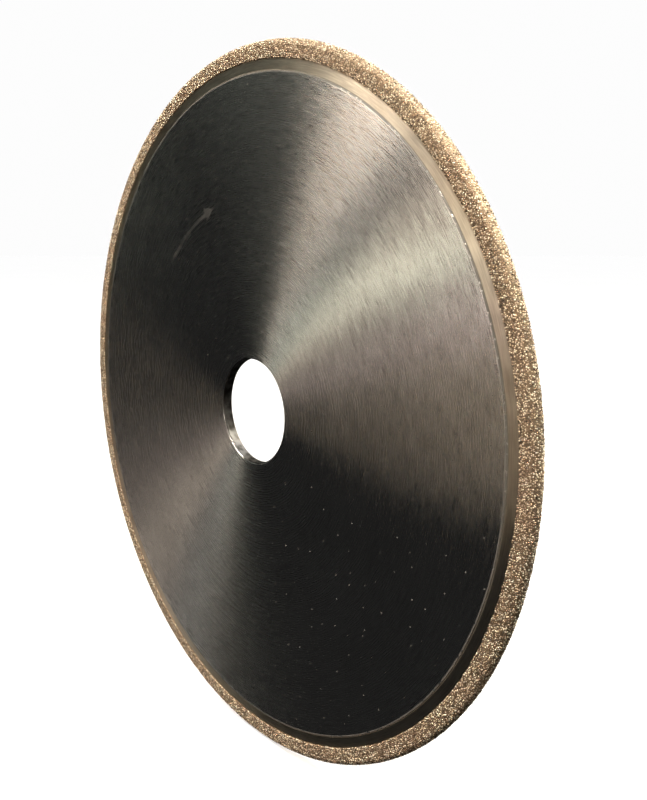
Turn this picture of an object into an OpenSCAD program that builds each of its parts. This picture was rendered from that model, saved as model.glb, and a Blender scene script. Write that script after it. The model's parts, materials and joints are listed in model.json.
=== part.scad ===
// Diamond grinding wheel for lapidary work: a steel disc whose turned-down edge carries
// one layer of diamond crystals, held in electroplated nickel.
// The origin is the centre of the bore. The wheel turns about +Y, and -Y is its front.

/* [Wheel] */
// Diameter over the crystal tips
wheel_d = 200; // [60:1:400]
// Thickness of the steel core between its two faces
core_t = 3.2; // [2:0.1:8]

/* [Bore] */
// Diameter of the arbor hole
bore_d = 30; // [6:0.1:50]
// Chamfer where the arbor hole meets each face
bore_chamfer = 0.4; // [0.1:0.05:0.8]

/* [Edge] */
// Radial depth of the crystal layer on each side
abrasive_depth = 5; // [2.5:0.5:8]
// Radial width of the smooth nickel band between the core's face and the crystals
band_w = 3; // [1:0.5:6]
// Depth of the turned land below each face of the core
land_depth = 0.4; // [0.2:0.05:0.8]
// Chamfer that breaks the sharp corner where each face ends at the land
face_break = 0.08; // [0.02:0.01:0.15]

/* [Plating] */
// Thickness of the nickel undercoat on the land and the edge
undercoat_t = 0.1; // [0.05:0.01:0.15]
// Thickness of the nickel that grips the crystals, over the undercoat
bond_t = 0.25; // [0.15:0.01:0.4]
// Height by which the crystals stand out of the nickel that grips them
crystal_stand = 0.2; // [0.1:0.01:0.4]

/* [Hidden] */

// Facets for the preview; a circle with more than 12 stays a true circle
round_fn = 96;
// How far a cutting shape runs past the face that it cuts
overrun = 1;

wheel_r = wheel_d / 2;
face_half = core_t / 2;
land_half = face_half - land_depth;
// The crystals end at abrasive_r, and the core's full-thickness face ends at face_r
abrasive_r = wheel_r - abrasive_depth;
face_r = abrasive_r - band_w;
// The edge is a full radius about edge_r, and each coat grows it outward
coat_total = undercoat_t + bond_t + crystal_stand;
edge_r = wheel_r - coat_total - land_half;

// Every outline below has x as the distance from the axis and y along the axis.

// Turns an outline about the wheel's axis, which is +Y
module turned() {
    rotate([-90, 0, 0])
        rotate_extrude($fn = round_fn)
            children();
}

// The land and the rounded edge, thickened all over by grow, from radius from_r outward
module edge_outline(from_r, grow) {
    translate([from_r, -land_half - grow])
        square([edge_r - from_r, 2 * (land_half + grow)]);
    translate([edge_r, 0])
        circle(r = land_half + grow, $fn = round_fn);
}

// A coat between the depths inner and outer over the bare edge, from radius from_r outward
module coat_outline(from_r, inner, outer) {
    difference() {
        edge_outline(from_r, outer);
        edge_outline(from_r - overrun, inner);
    }
}

// The core's disc out to face_r, with the outer corners of its two faces broken
module face_outline() {
    break_r = face_r - face_break;
    break_half = face_half - face_break;
    polygon([
        [0, -face_half],
        [break_r, -face_half],
        [face_r, -break_half],
        [face_r, break_half],
        [break_r, face_half],
        [0, face_half]
    ]);
}

// The arbor hole, and its chamfer cut into both faces
module bore_cut() {
    bore_r = bore_d / 2;
    flare = bore_chamfer + overrun;
    rotate([-90, 0, 0])
        cylinder(r = bore_r, h = core_t + 2 * overrun, center = true, $fn = round_fn);
    for (side = [-1, 1])
        rotate([-90 * side, 0, 0])
            translate([0, 0, face_half - bore_chamfer])
                cylinder(r1 = bore_r, r2 = bore_r + flare, h = flare, $fn = round_fn);
}

// Steel disc: flat clamping faces, a land turned down round the rim, and a full-radius edge
module steel_core() {
    color("slategray")
        difference() {
            turned() {
                face_outline();
                edge_outline(face_r - overrun, 0);
            }
            bore_cut();
        }
}

// Nickel undercoat: it covers the land and the edge, and its bare part is the smooth band
module nickel_undercoat() {
    color("tan")
        turned()
            coat_outline(face_r, 0, undercoat_t);
}

// Nickel bond: the thicker coat that grips the crystals by their lower halves
module nickel_bond() {
    color("rosybrown")
        turned()
            coat_outline(abrasive_r, undercoat_t, undercoat_t + bond_t);
}

// Diamond layer: the space that the crystals' exposed tips fill, up to the wheel's diameter
module diamond_layer() {
    color("goldenrod")
        turned()
            coat_outline(abrasive_r, undercoat_t + bond_t, coat_total);
}

steel_core();
nickel_undercoat();
nickel_bond();
diamond_layer();
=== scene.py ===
# %% [markdown]
# # A diamond grinding wheel
# The wheel is a steel disc with an arbor hole. Round its rim a land is turned down and
# nickel plated, and one layer of diamond crystals is held in more nickel over the outer
# edge. Nothing on it moves by itself: the whole wheel turns with the machine's arbor.
# The CAD model gives every size, so the first cell loads it as a fixed frame.

# %% Load the frame
import json
import math

import bpy
import numpy as np
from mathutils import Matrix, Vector


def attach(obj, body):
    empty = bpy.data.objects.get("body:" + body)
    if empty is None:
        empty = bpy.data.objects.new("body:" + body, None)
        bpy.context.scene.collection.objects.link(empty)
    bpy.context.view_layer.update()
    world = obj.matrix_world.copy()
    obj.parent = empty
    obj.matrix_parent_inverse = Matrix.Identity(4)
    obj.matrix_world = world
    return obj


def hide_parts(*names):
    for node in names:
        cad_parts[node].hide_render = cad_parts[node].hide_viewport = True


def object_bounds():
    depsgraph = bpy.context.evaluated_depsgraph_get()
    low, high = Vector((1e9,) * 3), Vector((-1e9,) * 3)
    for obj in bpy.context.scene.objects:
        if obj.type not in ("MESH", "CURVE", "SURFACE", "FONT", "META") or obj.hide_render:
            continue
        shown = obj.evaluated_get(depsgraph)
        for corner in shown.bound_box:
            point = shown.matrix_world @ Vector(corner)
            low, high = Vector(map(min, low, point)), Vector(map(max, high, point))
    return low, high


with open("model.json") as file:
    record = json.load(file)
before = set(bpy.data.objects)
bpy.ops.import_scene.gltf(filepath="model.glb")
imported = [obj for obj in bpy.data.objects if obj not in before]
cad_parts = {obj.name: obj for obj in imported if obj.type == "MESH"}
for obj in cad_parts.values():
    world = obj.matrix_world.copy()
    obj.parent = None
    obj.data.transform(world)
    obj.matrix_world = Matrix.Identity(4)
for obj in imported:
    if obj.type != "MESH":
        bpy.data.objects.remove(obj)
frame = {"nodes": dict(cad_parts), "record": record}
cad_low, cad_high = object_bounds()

MM = 0.001
TURN = 2 * math.pi
chance = np.random.default_rng(40)
print("CAD box, mm:", [round(v / MM, 3) for v in (*cad_low, *cad_high)])

# %% [markdown]
# ## Sizes
# The wheel is a solid of revolution about the Y axis, so three numbers say where each
# coat lies: its smallest and largest radius, and its half thickness. They are measured
# on the CAD meshes, whose corners lie on the true surfaces.

# %% Measure the coats
def ring(node):
    """Smallest radius, largest radius and half thickness of a CAD node about the Y axis."""
    mesh = frame["nodes"][node].data
    points = np.empty(3 * len(mesh.vertices))
    mesh.vertices.foreach_get("co", points)
    x, y, z = points.reshape(-1, 3).T
    radius = np.hypot(x, z)
    return radius.min(), radius.max(), abs(y).max()


bore_r, core_r, face_half = ring("steel_core")
face_r, coat_r, coat_half = ring("nickel_undercoat")
grit_r, bond_r, bond_half = ring("nickel_bond")
wheel_r = ring("diamond_layer")[1]
edge_r = coat_r - coat_half
land_half = core_r - edge_r
bore_mount = next(m for m in frame["record"]["mounts"] if m["name"] == "bore")
bore_half = bore_mount["dims"]["length_mm"] * MM / 2
measured = {
    "radius of the bore": bore_r,
    "radius of the face": face_r,
    "radius where the crystals start": grit_r,
    "radius where the edge starts to round": edge_r,
    "radius of the wheel": wheel_r,
    "half thickness of the core": face_half,
    "half thickness over the undercoat": coat_half,
}
for name, size in measured.items():
    print(name, round(size / MM, 3), "mm")

# %% [markdown]
# ## Turned surfaces
# The core and the nickel bond are both an outline carried round the axis, so one function
# serves both. It takes arrays in which every outline point may change from angle to
# angle, which is how nicks and lumps get in. The outline is closed and so is the turn,
# so the surface is closed everywhere, without seams or poles.

# %% Lathe
def solid_mesh(name, points, corners, sizes):
    """A piece from all its points, the corners of its faces end to end, and each face's size."""
    mesh = bpy.data.meshes.new(name)
    mesh.vertices.add(len(points))
    mesh.vertices.foreach_set("co", points.astype(np.float32).ravel())
    mesh.loops.add(len(corners))
    mesh.loops.foreach_set("vertex_index", corners.astype(np.int32))
    mesh.polygons.add(len(sizes))
    mesh.polygons.foreach_set("loop_start", np.cumsum(sizes) - sizes)
    mesh.update(calc_edges=True)
    mesh.validate()
    piece = bpy.data.objects.new(name, mesh)
    bpy.context.scene.collection.objects.link(piece)
    return piece


def lathe(name, radius, along):
    """Carries a closed outline round the Y axis.

    radius and along hold a row for each outline point and a column for each angle. A
    point at angle a lies at (radius cos a, along, radius sin a). The outline runs so that
    the material is on its left when along points up and radius to the right.
    """
    rows, columns = radius.shape
    angle = np.arange(columns) * TURN / columns
    points = np.stack([radius * np.cos(angle), along, radius * np.sin(angle)], axis=-1)
    row, column = np.indices((rows, columns))
    next_row, next_column = (row + 1) % rows, (column + 1) % columns
    corners = np.stack([
        row * columns + column,
        next_row * columns + column,
        next_row * columns + next_column,
        row * columns + next_column,
    ], axis=-1)
    piece = solid_mesh(name, points.reshape(-1, 3), corners.ravel(), np.full(row.size, 4))
    print(name, "has", 2 * row.size, "triangles")
    return piece


def smooth(piece, degrees):
    """Shades the piece smoothly, apart from edges sharper than this."""
    piece.data.polygons.foreach_set("use_smooth", np.ones(len(piece.data.polygons), bool))
    piece.data.set_sharp_from_angle(angle=math.radians(degrees))

# %% [markdown]
# ## The steel core
# The blank is faced and bored on a lathe, then a land is turned down round it, so its
# corners are crisp. Handling leaves nicks along the corner where each face ends, and they
# catch the light, so they are cut into the shape: each one is a bell curve in the angle,
# and moves the corner in by its depth.

# %% Nicks along a corner
def nicks(angle, count, deepest, width):
    """How far the corner is knocked in at each angle: a sum of bell curves.

    Each has a random centre, a depth up to deepest and a width near width, in radians. The
    cube of a random share makes most of them shallow and a few deep.
    """
    centre = chance.uniform(0, TURN, (count, 1))
    depth = deepest * chance.uniform(0.1, 1, (count, 1)) ** 3
    spread = width * chance.uniform(0.4, 1.6, (count, 1))
    away = (angle - centre + TURN / 2) % TURN - TURN / 2
    return (depth * np.exp(-(away / spread) ** 2)).sum(axis=0)


# %% Make the steel core
CORE_TURNS = 1800
CORNER_BREAK = 0.08 * MM
NICKS, DEEPEST_NICK, NICK_WIDTH = 150, 0.22 * MM, 0.5 * MM
CORNER_ZONE = 0.6 * MM
FACE_RINGS, EDGE_STEPS = 12, 6
angle = np.arange(CORE_TURNS) * TURN / CORE_TURNS
mouth_r = bore_r + face_half - bore_half


def core_side(side):
    """The outline of one half of the core, from the bore to the middle of the edge.

    It gives radius and distance along the axis, a row for each point; side is 1 or -1. The
    corner of the face is three points, so that it is broken rather than sharp.
    """
    dent = CORNER_BREAK + nicks(angle, NICKS, DEEPEST_NICK, NICK_WIDTH / face_r)
    face = np.linspace(mouth_r, face_r - CORNER_ZONE, FACE_RINGS)[:, None] + 0 * dent
    quarter = np.linspace(math.pi / 2, 0, EDGE_STEPS + 1)[:-1, None] + 0 * dent
    radius = np.vstack([
        bore_r + 0 * dent,
        face,
        face_r - 1.2 * dent,
        face_r - 0.3 * dent,
        face_r + 0 * dent,
        face_r + 0 * dent,
        edge_r + land_half * np.cos(quarter),
    ])
    along = np.vstack([
        bore_half + 0 * dent,
        face_half + 0 * face,
        face_half + 0 * dent,
        face_half - 0.3 * dent,
        face_half - 1.1 * dent,
        land_half + 0 * dent,
        land_half * np.sin(quarter),
    ])
    return radius, side * along


back_radius, back_along = core_side(1)
front_radius, front_along = core_side(-1)
core_middle = np.full((1, CORE_TURNS), core_r)
core = lathe(
    "core",
    np.vstack([front_radius, core_middle, back_radius[::-1]]),
    np.vstack([front_along, 0 * core_middle, back_along[::-1]]),
)
smooth(core, 25)
set_in = float((face_r - back_radius[1 + FACE_RINGS]).max())
print("the face ends up to", round(set_in / MM, 2), "mm short of the land, at the deepest nick")
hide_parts("steel_core")
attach(core, "root")

# %% [markdown]
# ## The nickel bond
# Nickel is plated up between the crystals until it covers their lower halves. It climbs a
# little round each one, so its surface is lumpy. The lumps are smoothed random heights
# that push each outline point along its own normal. Where the plating was masked off it
# thins out over a narrow shoulder, and its rim wanders a little. The hidden side of the
# ring lies just inside the undercoat and needs far fewer rows.

# %% A path over the rim
FLANK = edge_r - grit_r


def rim_path(way, lift):
    """A point on a coat over the rim, and the outward normal there, in radius and along.

    way runs from 0 to 1: over the front flank, round the half circle of the edge and
    down the back flank. lift is the height above the undercoat's skin.
    """
    bend = (coat_half + lift) * math.pi
    travel = way * (2 * FLANK + bend)
    turned = np.clip((travel - FLANK) / bend, 0, 1) * math.pi - math.pi / 2
    straight = np.minimum(travel, FLANK) - np.maximum(travel - FLANK - bend, 0)
    radius = grit_r + straight + (coat_half + lift) * np.cos(turned)
    along = (coat_half + lift) * np.sin(turned)
    return radius, along, np.cos(turned), np.sin(turned)


def lumps(rows, columns, passes):
    """Random heights of unit spread, smoothed by averaging each with its neighbours."""
    height = chance.standard_normal((rows, columns))
    for axis in (0, 1) * passes:
        height = (2 * height + np.roll(height, 1, axis) + np.roll(height, -1, axis)) / 4
    return height / height.std()


# %% Make the nickel bond
BOND_TURNS, BOND_ROWS, HIDDEN_ROWS = 1800, 38, 16
RIM_WANDER = 0.05 * MM
LUMP, HIGHEST_LUMP = 0.045 * MM, 0.1 * MM
SHOULDER_ROWS = 3
PLATED = 0.92  # how much of the CAD bond's thickness there is under a lump of no height
SUNK = 0.03 * MM
bond_t = bond_half - coat_half
way = np.linspace(0, 1, BOND_ROWS)[:, None]
wavy = RIM_WANDER * lumps(1, BOND_TURNS, 2)
lumpy = LUMP * lumps(BOND_ROWS, BOND_TURNS, 1)
shoulder = np.minimum(1, np.minimum(way, 1 - way) * BOND_ROWS / SHOULDER_ROWS) ** 0.5
lift = bond_t * shoulder * PLATED + np.clip(lumpy, -HIGHEST_LUMP, HIGHEST_LUMP) * shoulder
radius, along, out_r, _ = rim_path(way, lift)
on_flank = out_r < 0.01
radius = radius + wavy * (1 - shoulder) * on_flank
hidden_way = np.linspace(1, 0, HIDDEN_ROWS)[:, None] + np.zeros(BOND_TURNS)
inside_radius, inside_along, _, _ = rim_path(hidden_way, -SUNK)
bond = lathe("bond", np.vstack([radius, inside_radius]), np.vstack([along, inside_along]))
smooth(bond, 60)
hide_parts("nickel_bond")
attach(bond, "root")

# %% [markdown]
# ## The diamond crystals
# Grown diamond grit is a mixture of cube and octahedron: six squares and eight triangles.
# The crystals are tipped onto the undercoat and come to rest on a facet, shoulder to
# shoulder, so most have another facet on top that is nearly level with the rim. Those
# flash together where the rim turns to the light, which is the bright line along its
# crown. There are many thousands, so they are placed all at once as whole arrays.

# %% One crystal
def crystal_shape():
    """The 12 corners of a cuboctahedron of radius 1, and its faces as lists of corners.

    The corners are the middles of a cube's edges: two coordinates are 1 or -1, one is 0.
    A face is made of all corners that lie furthest along its normal, taken in order
    round it.
    """
    grid = np.stack(np.meshgrid(*3 * [[-1, 0, 1]], indexing="ij"), axis=-1).reshape(-1, 3)
    corners = grid[abs(grid).sum(axis=1) == 2] / math.sqrt(2)
    faces = []
    for normal in grid[abs(grid).sum(axis=1) % 2 == 1]:
        reach = corners @ normal
        on_face = np.flatnonzero(reach > reach.max() - 1e-6)
        first = corners[on_face[0]] - normal * reach.max() / (normal @ normal)
        second = np.cross(normal, first)
        order = np.argsort(np.arctan2(corners[on_face] @ second, corners[on_face] @ first))
        faces.append(on_face[order])
    return corners, faces


corners, faces = crystal_shape()
print("a crystal has", len(corners), "corners and", len(faces), "faces")

# %% Scatter the crystals
GRIT = 0.44 * MM
SPACING = 0.50 * MM
JITTER = 0.33
BELOW_CAD = 0.03 * MM  # the tallest crystals stop this far inside the CAD ring
crystal_top = ring("diamond_layer")[2] - coat_half - BELOW_CAD
rim_length = 2 * FLANK + math.pi * (coat_half + crystal_top / 2)
rows = round(rim_length / (SPACING * math.sin(math.pi / 3)))
columns = round(TURN * (grit_r + wheel_r) / 2 / SPACING)
row, column = (i.ravel() for i in np.indices((rows, columns)))
count = row.size
jitter = chance.uniform(-JITTER, JITTER, (2, count))
crystal_way = (row + 0.5 + jitter[0]) / rows
crystal_angle = (column + row % 2 / 2 + jitter[1]) * TURN / columns
print(count, "crystals in", rows, "rows of", columns)


# %% Turn each crystal
def turning(vector):
    """Rotation matrices, one for each row, which points along the axis and is the angle long.

    A turn by t about the unit axis k is 1 + sin t K + (1 - cos t) K K, where K is the
    matrix that crosses k with a vector.
    """
    angle = np.linalg.norm(vector, axis=1)[:, None, None]
    x, y, z = (vector / angle[:, 0]).T
    zero = 0 * x
    cross = np.stack([zero, -z, y, z, zero, -x, -y, x, zero], axis=-1).reshape(-1, 3, 3)
    return np.eye(3) + np.sin(angle) * cross + (1 - np.cos(angle)) * cross @ cross


TILT = math.radians(15)
ON_SQUARE = 0.7  # the share of crystals that rest on a square, and the others on a triangle
NO_TURN = 1e-9  # not quite zero, as turning() divides by the angle
TO_TRIANGLE = math.acos(1 / math.sqrt(3))
square = chance.uniform(0, 1, (count, 1)) < ON_SQUARE
on_facet = turning(np.where(square, NO_TURN, TO_TRIANGLE) * np.array([1, -1, 0]) / math.sqrt(2))
spun = turning(chance.uniform(0.01, TURN, (count, 1)) * np.array([0, 0, 1]))
tilted = turning(np.column_stack([chance.normal(0, TILT, (count, 2)), np.zeros(count)]))
size = chance.uniform(0.8, 1.12, (count, 1, 1))
stretch = GRIT / 2 * size * chance.uniform(0.82, 1.12, (count, 1, 3))
# Each crystal's corners as (across the rim, round the wheel, out of the surface)
local = (corners * stretch) @ (tilted @ spun @ on_facet).transpose(0, 2, 1)
print("crystals", round(2 * float(abs(local).max(axis=(1, 2)).mean()) / MM, 2), "mm across")

# %% Set the crystals on the rim
PLATING_UNDER = 0.02 * MM
lowest, highest = -local[..., 2].min(axis=1), local[..., 2].max(axis=1)
lift = np.minimum(lowest + PLATING_UNDER, crystal_top - highest)
radius, along, out_r, out_y = (value[:, None] for value in rim_path(crystal_way, lift))
across, around, out = np.moveaxis(local, -1, 0)
point_r = radius + across * -out_y + out * out_r
point_y = along + across * out_r + out * out_y
cos, sin = np.cos(crystal_angle)[:, None], np.sin(crystal_angle)[:, None]
crystal_points = np.stack([
    point_r * cos - around * sin,
    point_y,
    point_r * sin + around * cos,
], axis=-1)
furthest = float(np.hypot(point_r, around).max())
print("furthest crystal corner", round(furthest / MM, 3), "mm from the axis")

# %% Make the crystal meshes
def crystals(name, chosen):
    """One mesh of the chosen crystals, each with a random number that its colour follows.

    All crystals have the same faces, so each one's corners are the first one's, counted on
    from where its own points start.
    """
    total = int(chosen.sum())
    first = np.arange(total)[:, None] * len(corners)
    loops = (first + np.concatenate(faces)).ravel()
    sizes = np.tile([len(f) for f in faces], total)
    piece = solid_mesh(name, crystal_points[chosen].reshape(-1, 3), loops, sizes)
    tint = piece.data.attributes.new("tint", "FLOAT", "POINT")
    tint.data.foreach_set("value", np.repeat(chance.uniform(0, 1, total), len(corners)))
    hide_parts("diamond_layer")
    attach(piece, "root")
    print(name, "has", total, "crystals and", int((sizes - 2).sum()), "triangles")
    return piece


zone_names = [
    f"crystals_{side}_{part}"
    for side, parts in (("front", ("inner", "outer", "edge")), ("back", ("edge", "outer", "inner")))
    for part in parts
]
zone = (crystal_way * len(zone_names)).astype(int).clip(0, len(zone_names) - 1)
crystal_pieces = [crystals(name, zone == i) for i, name in enumerate(zone_names)]

# %% [markdown]
# ## Writing shaders as sums
# A shader is arithmetic on values that change over the surface. A small class wraps one
# such value, and its operators add the Math nodes, so a finish can be written the way it
# is thought of. One method adds every other kind of node.

# %% Wires
class Wire:
    """A value in a material's nodes. Sums and products of wires add Math nodes."""

    def __init__(self, socket):
        self.socket = socket

    def node(self, kind, settings=None, inputs=None, output=0):
        """Adds a node: first its settings, then the values or wires of its inputs.

        The setting "stops" is a ramp's list of (place, colour).
        """
        tree = self.socket.id_data
        made = tree.nodes.new(kind)
        for key, value in (settings or {}).items():
            if key == "stops":
                ramp = made.color_ramp.elements
                while len(ramp) < len(value):
                    ramp.new(1)
                for stop, (place, colour) in zip(ramp, value):
                    stop.position, stop.color = place, (*colour, 1)
            else:
                setattr(made, key, value)
        for key, value in (inputs or {}).items():
            if isinstance(value, Wire):
                tree.links.new(value.socket, made.inputs[key])
            else:
                made.inputs[key].default_value = value
        return Wire(made.outputs[output])

    def math(self, operation, *values):
        """Adds a Math node that does this operation on numbers or wires."""
        return self.node("ShaderNodeMath", {"operation": operation}, dict(enumerate(values)))

    def __add__(self, other):
        return self.math("ADD", self, other)

    def __sub__(self, other):
        return self.math("SUBTRACT", self, other)

    def __rsub__(self, other):
        return self.math("SUBTRACT", other, self)

    def __mul__(self, other):
        return self.math("MULTIPLY", self, other)

    def __truediv__(self, other):
        return self.math("DIVIDE", self, other)

    def __gt__(self, other):
        return self.math("GREATER_THAN", self, other)

    def __lt__(self, other):
        return self.math("LESS_THAN", self, other)

    __radd__ = __add__
    __rmul__ = __mul__

    def root(self):
        return self.math("SQRT", self)

    def size(self):
        """The value without its sign."""
        return self.math("ABSOLUTE", self)

    def between(self, low, high):
        """0 below low and 1 above high, with a smooth change between them."""
        return self.node(
            "ShaderNodeMapRange",
            {"interpolation_type": "SMOOTHSTEP"},
            {"Value": self, "From Min": low, "From Max": high},
        )


def finish_named(name):
    """A new material, its Principled shader, and a wire that carries the place on the object."""
    material = bpy.data.materials.new(name)
    material.use_nodes = True
    shader = material.node_tree.nodes["Principled BSDF"]
    place = material.node_tree.nodes.new("ShaderNodeTexCoord")
    return material, shader, Wire(place.outputs["Object"])


def connect(shader, **values):
    """Sets the shader's inputs: a number is set on the socket, and a wire is linked to it."""
    for key, value in values.items():
        socket = shader.inputs[key.replace("_", " ")]
        if isinstance(value, Wire):
            shader.id_data.links.new(value.socket, socket)
        else:
            socket.default_value = value


def axes(place):
    """x, y and z in millimetres, and the distance from the wheel's axis."""
    parts = [place.node("ShaderNodeSeparateXYZ", {}, {0: place}, i) / MM for i in range(3)]
    x, y, z = parts
    return x, y, z, (x * x + z * z).root()


def noise(place, vector, scale, detail=2.0, roughness=0.5):
    """Cloudy noise around 0.5, with scale clouds to a unit of the vector."""
    return place.node(
        "ShaderNodeTexNoise", {},
        {"Vector": vector, "Scale": scale, "Detail": detail, "Roughness": roughness},
    )


def join(place, x, y, z):
    """A vector from three numbers or wires."""
    return place.node("ShaderNodeCombineXYZ", {}, {0: x, 1: y, 2: z})


def blend(place, share, first, second):
    """Colour first where share is 0, second where it is 1."""
    return place.node(
        "ShaderNodeMix", {"data_type": "RGBA"},
        {"Factor": share, 6: first, 7: second}, 2,
    )

# %% [markdown]
# ## Circular brushing
# The faces are ground while the disc turns, so they carry fine grooves that run in
# circles. Grooves spread light across themselves and hardly along themselves, which makes
# the fans of light that cross the disc. The shader's anisotropy does that, with its
# tangent round the Y axis. Streaks are noise that is drawn out along the grooves: its
# second coordinate is the radius, and it changes many times as fast as the other two. They
# tip the surface a little along the grooves, so the fans' edges are ragged. A Tangent node
# gives the direction of the grooves, which are circles, so no UV map is needed.

# %% Brushed metal
ALONG_GROOVES, ACROSS_GROOVES = 0.2, 8.0  # how many clouds of noise to a millimetre


def grooves(place, fineness, shift=0):
    """Streak noise along the grooves, near 0.5; another shift gives another pattern."""
    x, _, z, radius = axes(place)
    streak = join(
        place, x * ALONG_GROOVES + shift, radius * ACROSS_GROOVES * fineness, z * ALONG_GROOVES
    )
    return noise(place, streak, 1.0)


def tipped(place, along, across):
    """The surface's normal, tipped round the wheel by along and away from its axis by across.

    It is the unit of normal + along * (-z, 0, x) / r + across * (x, 0, z) / r.
    """
    kind = "ShaderNodeVectorMath"
    x, _, z, radius = axes(place)
    direction = join(place, (x * across - z * along) / radius, 0, (z * across + x * along) / radius)
    normal = place.node("ShaderNodeNewGeometry", {}, {}, "Normal")
    total = place.node(kind, {"operation": "ADD"}, {0: normal, 1: direction})
    return place.node(kind, {"operation": "NORMALIZE"}, {0: total})


def around_axis(place):
    """The tangent that runs round the Y axis."""
    return place.node("ShaderNodeTangent", {"direction_type": "RADIAL", "axis": "Y"})


# %% Wear on the faces
def specks(place, x, y, spacing, size):
    """1 in scattered dots of up to that radius in mm: one in each cell of a Voronoi pattern."""
    pattern = {"voronoi_dimensions": "2D"}
    sockets = {"Vector": join(place, x, y, 0), "Scale": 1 / spacing}
    distance = place.node("ShaderNodeTexVoronoi", pattern, sockets, "Distance")
    colour = place.node("ShaderNodeTexVoronoi", pattern, sockets, "Color")
    share = place.node("ShaderNodeSeparateXYZ", {}, {0: colour}, 0)
    return (distance * spacing < share * share * size) * (1.3 - share)


def turning_arrow(x, y, z, radius):
    """1 inside a thin arrow that bends round the front face, which shows which way to turn.

    It is where the distance from a circle is below a half width, which is constant along
    the shaft and grows from nothing at the tip to its most at the neck. Sizes are in mm.
    """
    circle, head_half, shaft_half = 60, 2.2, 0.5
    tip, neck, tail = math.radians(108), math.radians(112.5), math.radians(136)
    angle = x.math("ARCTAN2", z, x)
    head = (angle - tip) * (head_half / (neck - tip)) * (angle < neck)
    shaft = (angle > neck) * (angle < tail) * shaft_half
    return ((radius - circle).size() < head + shaft) * (y < 0)


# %% [markdown]
# The steel's finish adds what a used face shows: specks of dust, a faint arrow that shows
# which way to turn, and a dull bore. It also has painted shade: a dark line along the face's
# edge at the step, and a nearly black bore. Each is a mask that is 1 where it shows, and
# the colours are laid over each other by those masks.

# %% Steel for the core
steel, shader, place = finish_named("brushed_steel_face")
x, y, z, radius = axes(place)
face_mm, bore_mm, grit_mm = face_r / MM, bore_r / MM, grit_r / MM
slope, climb, grain = (grooves(place, 1.0, shift) for shift in (0, 300, 600))
cloud = noise(place, place, 45.0, 3.0)
dust = specks(place, x, z, 5.5, 0.22)
worn = noise(place, place, 420.0, 3.0).between(0.42, 0.62)
mark = turning_arrow(x, y, z, radius) * (worn * 0.18 + 0.04)
mottle = noise(place, place, 900.0, 3.0)
# corner is painted shade: a dark line painted along the face's edge where it steps down to the land,
# also made less metallic and rougher
corner = radius.between(face_mm - 0.45, face_mm - 0.12) * (1 - mottle.between(0.6, 0.66))
bored = radius < bore_mm + 0.25
chatter = noise(place, join(place, x * 0.5, y * 2.5, z * 0.5), 1.0, 2.0, 0.6)
tone = (grain - 0.5) * 1.2 + (cloud - 0.5) * 0.4 + 0.5
colour = blend(place, tone.between(0.0, 1.0), (0.36, 0.35, 0.335, 1), (0.66, 0.65, 0.63, 1))
# Painted shade: the bore is painted nearly black. Its dull roughness and chatter marks are its own.
colour = blend(place, bored * (0.72 + worn * 0.26), colour, (0.05, 0.046, 0.04, 1))
colour = blend(place, mark, colour, (0.62, 0.61, 0.58, 1))
colour = blend(place, corner * 0.9, colour, (0.085, 0.075, 0.06, 1))
colour = blend(place, dust * 0.8, colour, (0.70, 0.68, 0.63, 1))
connect(
    shader,
    Base_Color=colour,
    Metallic=1 - dust - mark * 0.5 - corner * 0.85,
    Roughness=(grain - 0.5) * 0.10 + 0.27 + bored * 0.3 + mark * 0.3 + dust * 0.4 + corner * 0.3,
    Anisotropic=0.92,
    Anisotropic_Rotation=0.25,
    Tangent=around_axis(place),
    Normal=tipped(place, (slope - 0.5) * 0.19 + bored * (chatter - 0.5) * 0.5, (climb - 0.5) * 0.08),
)
core.data.materials.append(steel)
print("the core's finish has", len(steel.node_tree.nodes), "nodes")

# %% [markdown]
# ## The plated band
# Between the core's step and the grit the nickel undercoat shows as a bare band. Nickel is
# a little yellower than steel. The tool marks of the turned land show through it, and the
# corner under the step has painted shade: it is painted nearly black.

# %% Nickel for the band
nickel, shader, place = finish_named("band_nickel")
x, y, z, radius = axes(place)
slope, climb, grain = (grooves(place, 0.45, shift) for shift in (900, 1200, 1500))
cloud = noise(place, place, 120.0, 3.0)
# Painted shade: the corner under the step is painted nearly black, and made less metallic and
# rougher.
shade_under_step = 1 - radius.between(face_mm + 0.05, face_mm + 0.35)
stain = radius.between(grit_mm - 0.7, grit_mm)
tone = (grain - 0.5) * 1.2 + (cloud - 0.5) * 0.8 + 0.55
colour = blend(place, tone.between(0.0, 1.0), (0.39, 0.34, 0.27, 1), (0.63, 0.58, 0.48, 1))
colour = blend(place, stain * cloud * 0.9, colour, (0.30, 0.22, 0.14, 1))
colour = blend(place, shade_under_step * 0.85, colour, (0.07, 0.06, 0.045, 1))
connect(
    shader,
    Base_Color=colour,
    Metallic=1 - shade_under_step * 0.8,
    Roughness=(cloud - 0.5) * 0.1 + 0.33 + shade_under_step * 0.3,
    Anisotropic=0.85,
    Anisotropic_Rotation=0.25,
    Tangent=around_axis(place),
    Normal=tipped(place, (slope - 0.5) * 0.14, (climb - 0.5) * 0.3),
)
undercoat = frame["nodes"]["nickel_undercoat"]
undercoat.data.materials.clear()
undercoat.data.materials.append(nickel)
print("the band's finish has", len(nickel.node_tree.nodes), "nodes")

# %% [markdown]
# ## The bond and the crystals
# The bond is dull nickel that dust has stained. Each crystal has one tone between bronze
# and pale cream, which it takes from its own random number. Plating creeps over some of
# them, so their facets shine partly like metal.

# %% Bond and crystal finishes
bond_finish, shader, place = finish_named("bond_nickel")
patch = noise(place, place, 900.0, 3.0)
bond_bump = place.node(
    "ShaderNodeBump", {}, {"Height": noise(place, place, 2500.0, 2.0), "Distance": 0.1 * MM}
)
connect(
    shader,
    Base_Color=blend(place, patch, (0.10, 0.065, 0.035, 1), (0.34, 0.25, 0.16, 1)),
    Metallic=0.8,
    Roughness=patch * 0.3 + 0.3,
    Normal=bond_bump,
)
bond.data.materials.append(bond_finish)

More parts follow.
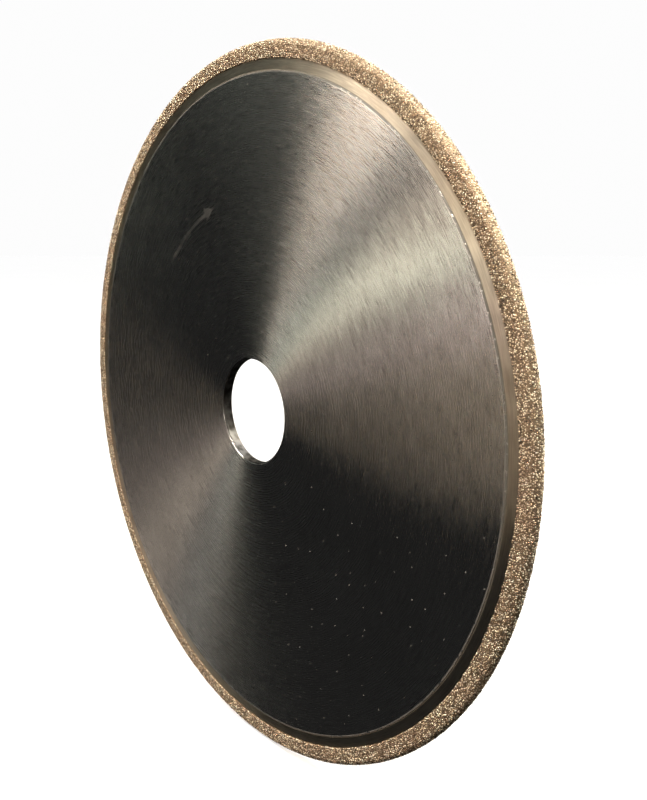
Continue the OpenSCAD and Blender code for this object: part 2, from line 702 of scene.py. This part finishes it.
crystal_finish, shader, place = finish_named("diamond")
tint = place.node("ShaderNodeAttribute", {"attribute_name": "tint"}, {}, "Fac")
crystal_colour = place.node(
    "ShaderNodeValToRGB",
    {"stops": [
        (0.0, (0.06, 0.038, 0.024)),
        (0.35, (0.33, 0.225, 0.14)),
        (0.65, (0.72, 0.58, 0.39)),
        (1.0, (0.97, 0.92, 0.76)),
    ]},
    {"Fac": tint},
)
patches = noise(place, place, 60.0, 2.0).between(0.35, 0.65)
crystal_colour = blend(place, patches * 0.25, crystal_colour, (0.46, 0.28, 0.19, 1))
connect(
    shader,
    Base_Color=crystal_colour,
    Roughness=0.2 + 0.2 * tint,
    Metallic=0.6 + 0.3 * tint,
    IOR=2.4,
)
for piece in crystal_pieces:
    piece.data.materials.append(crystal_finish)

# %% [markdown]
# ## The floor
# The wheel stands on its rim on a pale floor under a wide, soft sky lamp, which lights the
# floor evenly as far as it goes. The floor also glows, to make up what the sky lamp
# leaves of white. The polished faces don't mirror it, because only the camera sees it.

# %% Floor
WHITE = 0.98  # how bright the floor and the background look
SKY = 1.1  # how bright the sky lamp makes a white floor
FLOOR_TONE, FLOOR_R = 0.40, 12
bpy.ops.mesh.primitive_circle_add(
    vertices=128, radius=FLOOR_R, fill_type="NGON", location=(0, 0, cad_low.z)
)
floor = bpy.context.object
floor.name = "floor"
floor_finish, shader, place = finish_named("pale_floor")
speckle = noise(place, place, 3.0)
connect(
    shader,
    Base_Color=blend(
        place, speckle, (*3 * [FLOOR_TONE - 0.01], 1), (*3 * [FLOOR_TONE + 0.01], 1)
    ),
    Roughness=0.9,
    Specular_IOR_Level=0.0,
    Emission_Color=(1, 1, 1, 1),
    Emission_Strength=WHITE - FLOOR_TONE * SKY,
)
floor.data.materials.append(floor_finish)
floor.visible_glossy = False
floor.visible_diffuse = False
print("the floor lies", round(cad_low.z / MM, 1), "mm from the axis")

# %% [markdown]
# ## The lamps
# Brushed metal shows a lamp as a fan of light that starts at the axis, so the look of a
# face is the sum of a few fans. On a clock face, high and inner make the one at one
# o'clock, and tall, strip and middle the one at two. Lower and low give the dimmer light
# down to three, and left the faint light up to twelve. Most also show on the far side of
# the hole, above all tall, and that is the fan between seven and eight. Crown, above and
# the two edge lamps light the rim. The face lamps stand behind too, for the other face.

# %% Ways to place a lamp
def towards(azimuth, elevation):
    """The unit vector to a place: azimuth 0 is in front of the face, 90 on its right."""
    a, e = math.radians(azimuth), math.radians(elevation)
    return np.array([math.sin(a) * math.cos(e), -math.cos(a) * math.cos(e), math.sin(e)])


def aim(thing, place, target=(0, 0, 0)):
    """Puts a lamp or camera at a place and turns it to face the target."""
    thing.location = place
    thing.rotation_euler = (Vector(target) - Vector(place)).to_track_quat("-Z", "Y").to_euler()


def lamp(name, kind, azimuth, elevation, distance, colour):
    """A lamp of that kind at a direction and distance from the wheel's centre, facing it."""
    data = bpy.data.lights.new(name, kind)
    data.color = colour
    made = bpy.data.objects.new(name, data)
    bpy.context.scene.collection.objects.link(made)
    aim(made, towards(azimuth, elevation) * distance)
    return made


def softbox(name, azimuth, elevation, distance, size, roll, radiance, colour):
    """An area lamp of width and height size, turned about its own axis by roll degrees."""
    made = lamp(name, "AREA", azimuth, elevation, distance, colour)
    made.rotation_euler.rotate_axis("Z", math.radians(roll))
    made.data.shape = "RECTANGLE"
    made.data.size, made.data.size_y = size
    made.data.energy = radiance * math.pi * size[0] * size[1]
    return made


# %% Light the wheel
SKY_TURN, SKY_HEIGHT, SKY_SPREAD = 10, 78, 40
sky = lamp("sky", "SUN", SKY_TURN, SKY_HEIGHT, 2, (1, 1, 1))
sky.data.angle = math.radians(SKY_SPREAD)
sky.data.energy = SKY * math.pi / math.sin(math.radians(SKY_HEIGHT))

# Name, azimuth, elevation, distance, width and height, roll, radiance, colour
FACE_LAMPS = [
    ("tall", -2, 31, 1.4, (0.04, 0.40), 10, 210, (1.0, 0.78, 0.62)),
    ("high", -33, 45, 0.6, (0.27, 0.10), -45, 21, (1.0, 0.97, 0.84)),
    ("strip", -38, 5, 0.4, (0.14, 0.02), 25, 3.5, (0.94, 1.0, 0.80)),
    ("low", -10, -10, 0.4, (0.02, 0.20), 45, 6, (1.0, 0.79, 0.58)),
    ("left", -63, 33, 1.0, (0.5, 0.4), 0, 0.32, (0.92, 1.0, 0.87)),
    ("inner", -35, 30, 0.5, (0.1, 0.1), 0, 6.5, (1.0, 0.74, 0.59)),
    ("middle", -6, 12, 1.0, (0.10, 0.15), 0, 20, (1.0, 0.84, 0.73)),
    ("lower", -12, 5, 0.8, (0.1, 0.1), 0, 8.5, (1.0, 0.78, 0.72)),
    ("crown", 35, 12, 0.9, (0.15, 0.15), 0, 8, (1.0, 0.93, 0.80)),
]
for side, turned in (("front", 0), ("back", 180)):
    for name, azimuth, *rest in FACE_LAMPS:
        softbox(f"{side}_{name}", turned + azimuth, *rest)
softbox("above", 80, 60, 1.2, (0.4, 0.4), 0, 40, (1.0, 1.0, 0.88))
for side, azimuth in (("right", 98), ("left", -98)):
    softbox(side + "_edge", azimuth, 0, 1.5, (0.3, 0.6), 0, 2.5, (1.0, 0.95, 0.90))
print(len(bpy.data.lights), "lamps")

# %% [markdown]
# ## The surroundings
# The camera sees a white background. Every other ray finds a nearly black one, because
# brushed metal looks like metal only where most of what it mirrors is dark.

# %% Surroundings
GLOW = 0.022
world = bpy.data.worlds.new("studio")
bpy.context.scene.world = world
world.use_nodes = True
background = world.node_tree.nodes["Background"]
background.inputs["Color"].default_value = (1, 1, 1, 1)
path = Wire(background.outputs[0])
seen = path.node("ShaderNodeLightPath", {}, {}, "Is Camera Ray")
strength = seen * (WHITE - GLOW) + GLOW
world.node_tree.links.new(strength.socket, background.inputs["Strength"])
bpy.context.scene.view_settings.view_transform = "Standard"

# %% [markdown]
# ## The camera
# It looks at the front face from well round on the right and a little from above, and
# stands close enough for the near side to look taller than the far side. It is aimed
# beside the wheel's centre, which puts the whole wheel in the middle of the picture.

# %% Camera
AZIMUTH, ELEVATION = 55.2, 10.64
DISTANCE = 2.54 * wheel_r
LENS, SENSOR = 39.7, 36
AIM_RIGHT, AIM_UP = 19.26 * MM, 2.76 * MM
camera_data = bpy.data.cameras.new("camera")
camera_data.sensor_width = SENSOR
camera_data.lens = LENS
camera_data.clip_start, camera_data.clip_end = 0.01, 50
camera = bpy.data.objects.new("camera", camera_data)
bpy.context.scene.collection.objects.link(camera)
bpy.context.scene.camera = camera
view = towards(AZIMUTH, ELEVATION)
right = np.cross([0, 0, 1], view)
right /= np.linalg.norm(right)
up = np.cross(view, right)
aim(camera, view * DISTANCE, right * AIM_RIGHT + up * AIM_UP)
print("the camera stands", round(DISTANCE / MM), "mm from the wheel's centre")
